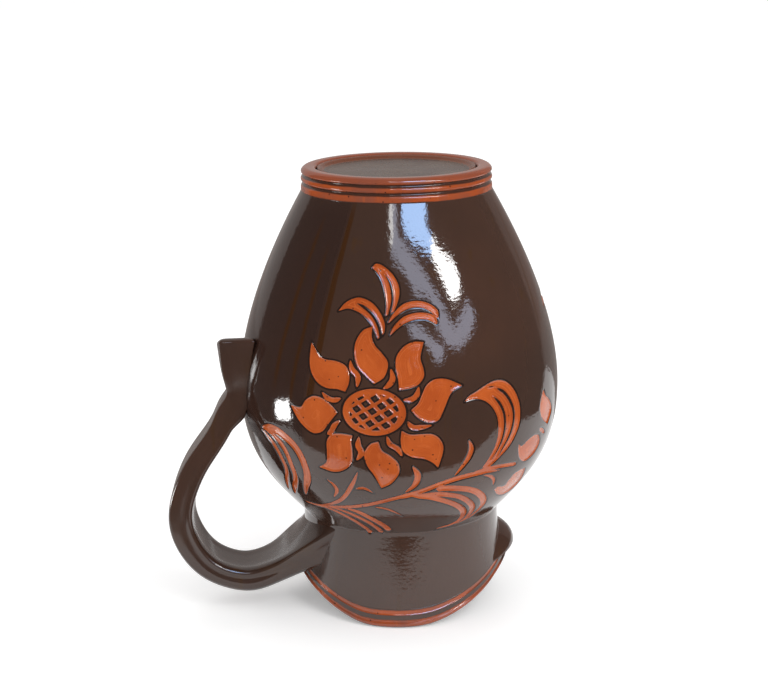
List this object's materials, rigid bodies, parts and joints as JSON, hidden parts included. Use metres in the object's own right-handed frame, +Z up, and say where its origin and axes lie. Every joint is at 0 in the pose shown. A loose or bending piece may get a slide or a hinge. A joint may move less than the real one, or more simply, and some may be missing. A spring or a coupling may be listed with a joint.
{
  "type": "clay jug",
  "caption": "Round-bellied glazed clay jug with a strap handle, a pulled pouring lip, a turned foot ring and a carved flower, standing mouth down.",
  "frame": {"origin": "on the table, under the middle of the jug's outline (the box of the whole jug)", "axes": "+Z up, from the rim on the table to the foot; the jug stands mouth down; -X towards the handle, +X towards the pouring lip; the pot is turned about a line parallel to Z at x = 20.2 mm"},
  "size_m": [0.2044, 0.164, 0.228],
  "materials": {
    "bare_clay": "orange clay under clear gloss glaze",
    "dark_glaze": "dark brown slip under clear gloss glaze",
    "clear_glaze": "clear gloss glaze over brown clay"
  },
  "bodies": {
    "root": {"foot_ring": "bare_clay", "base_floor": "bare_clay", "recess_glaze": "clear_glaze", "belly_wall_foot_half": "bare_clay", "belly_wall_neck_half": "bare_clay", "belly_slip_coat": "dark_glaze", "neck_collar": "bare_clay", "neck_slip_coat": "dark_glaze", "rim_band": "bare_clay", "pouring_lip": "dark_glaze", "inside_glaze": "clear_glaze", "handle_tail": "dark_glaze", "handle_strap": "dark_glaze", "handle_neck_root": "dark_glaze"}
  },
  "joints": []
}
